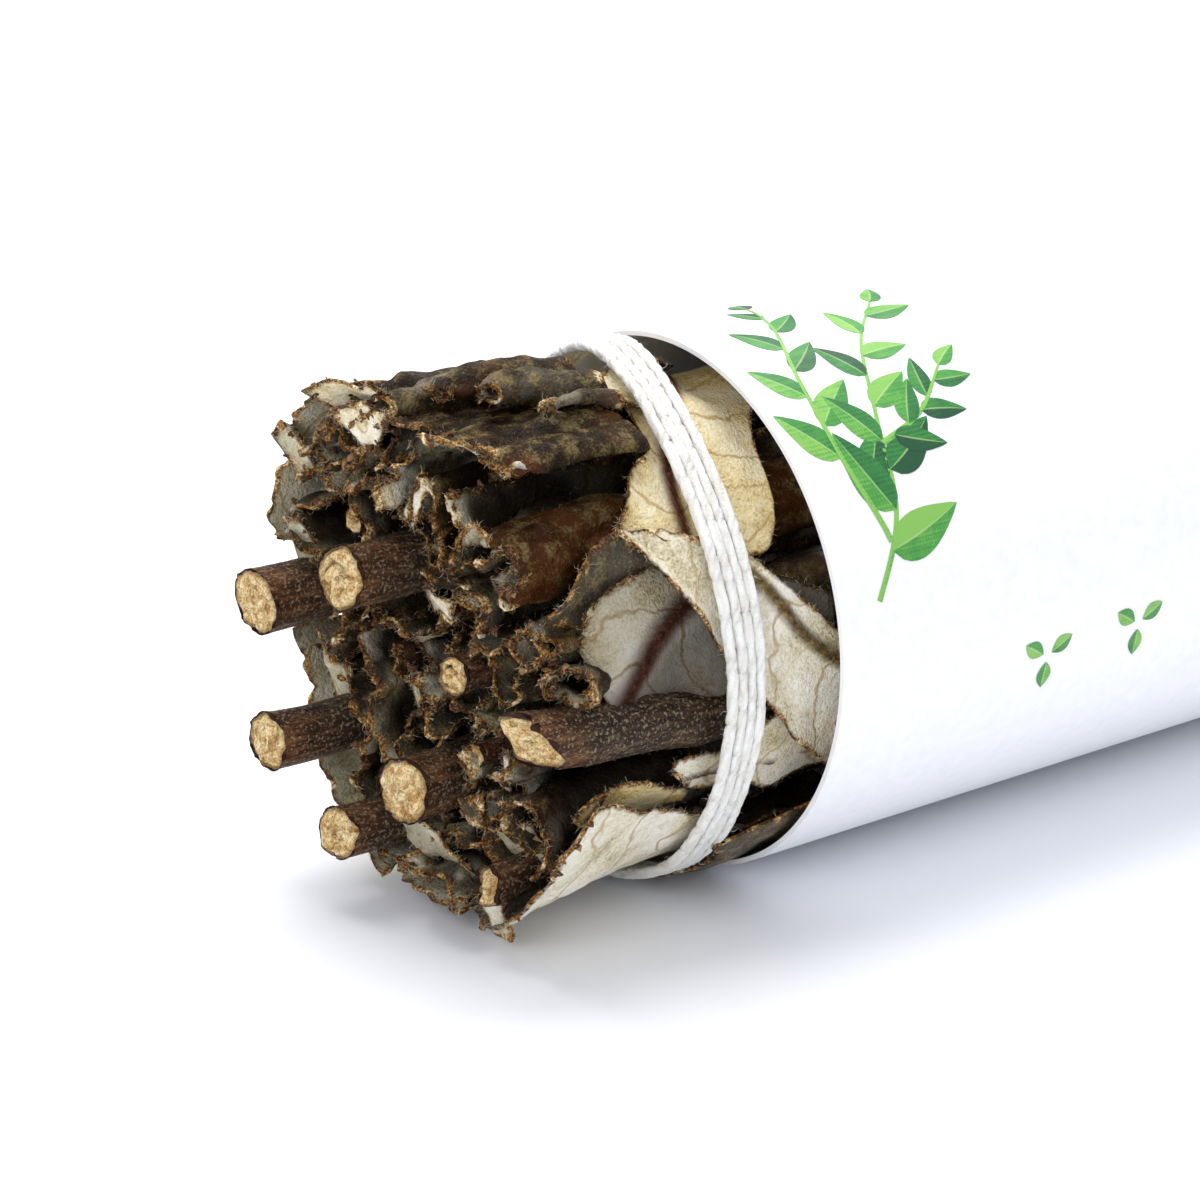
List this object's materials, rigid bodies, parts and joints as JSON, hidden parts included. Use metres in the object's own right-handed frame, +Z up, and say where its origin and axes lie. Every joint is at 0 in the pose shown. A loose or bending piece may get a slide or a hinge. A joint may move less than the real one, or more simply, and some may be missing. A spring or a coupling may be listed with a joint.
{
  "type": "yerba santa bunch",
  "caption": "Tied bunch of dried yerba santa stems and leaves lying on its side, pushed into a rolled paper sleeve.",
  "frame": {"origin": "middle of the overall box in X and Y, at the height of the surface it lies on", "axes": "+X along the bunch from its cut end to its leaf tips, +Z up, -Y is the side that shows in the picture"},
  "size_m": [0.1224, 0.044, 0.0437],
  "materials": {
    "sleeve_paper": "smooth white coated card, printed with leafy sprigs",
    "cotton_string": "soft twisted cotton, slightly fuzzy",
    "stem_bark": "dry ridged bark with pale cut ends",
    "leaf_upper": "leathery, resinous, sparse pale hairs",
    "leaf_felt": "densely felted underside with raised veins"
  },
  "bodies": {
    "root": {"leaf_bottom_cream": "leaf_felt", "leaf_bottom_far": "leaf_upper", "leaf_bottom_fold": "leaf_felt", "leaf_collar": "leaf_felt", "leaf_collar_fold": "leaf_upper", "leaf_comb_lower": "leaf_upper", "leaf_comb_upper": "leaf_upper", "leaf_crown_curl": "leaf_felt", "leaf_curl_near": "leaf_felt", "leaf_end_bottom": "leaf_felt", "leaf_end_bottom_under": "leaf_upper", "leaf_end_crown": "leaf_upper", "leaf_end_far": "leaf_felt", "leaf_end_left": "leaf_upper", "leaf_end_left_under": "leaf_felt", "leaf_end_near": "leaf_felt", "leaf_end_near_under": "leaf_upper", "leaf_fold_middle": "leaf_felt", "leaf_grey_centre": "leaf_felt", "leaf_grey_left": "leaf_felt", "leaf_inner_cream": "leaf_felt", "leaf_left_fold": "leaf_upper", "leaf_left_middle": "leaf_upper", "leaf_left_under": "leaf_felt", "leaf_left_upper": "leaf_felt", "leaf_rust_roll": "leaf_upper", "leaf_shard_near": "leaf_upper", "leaf_side_lower": "leaf_felt", "leaf_sliver_near": "leaf_felt", "leaf_tent": "leaf_upper", "leaf_tip_top": "leaf_felt", "leaf_top_ridge": "leaf_upper", "leaf_top_roll": "leaf_upper", "leaf_torn_bits": "leaf_upper", "leaf_torn_left": "leaf_upper", "leaf_torn_pleats": "leaf_upper", "leaf_under_centre": "leaf_upper", "leaf_under_dark": "leaf_upper", "leaf_under_stem": "leaf_felt", "leaf_wave_middle": "leaf_upper", "leaf_yellow": "leaf_felt", "leaf_zigzag": "leaf_upper", "paper_sleeve": "sleeve_paper", "stem_bottom": "stem_bark", "stem_bottom_near": "stem_bark", "stem_centre": "stem_bark", "stem_left_lower": "stem_bark", "stem_left_upper": "stem_bark", "stem_lower": "stem_bark", "stem_near_side": "stem_bark", "stem_small": "stem_bark", "string": "cotton_string", "string_knot": "cotton_string", "twig_bud": "stem_bark", "twig_pith": "stem_bark", "twig_ring": "stem_bark"}
  },
  "joints": []
}
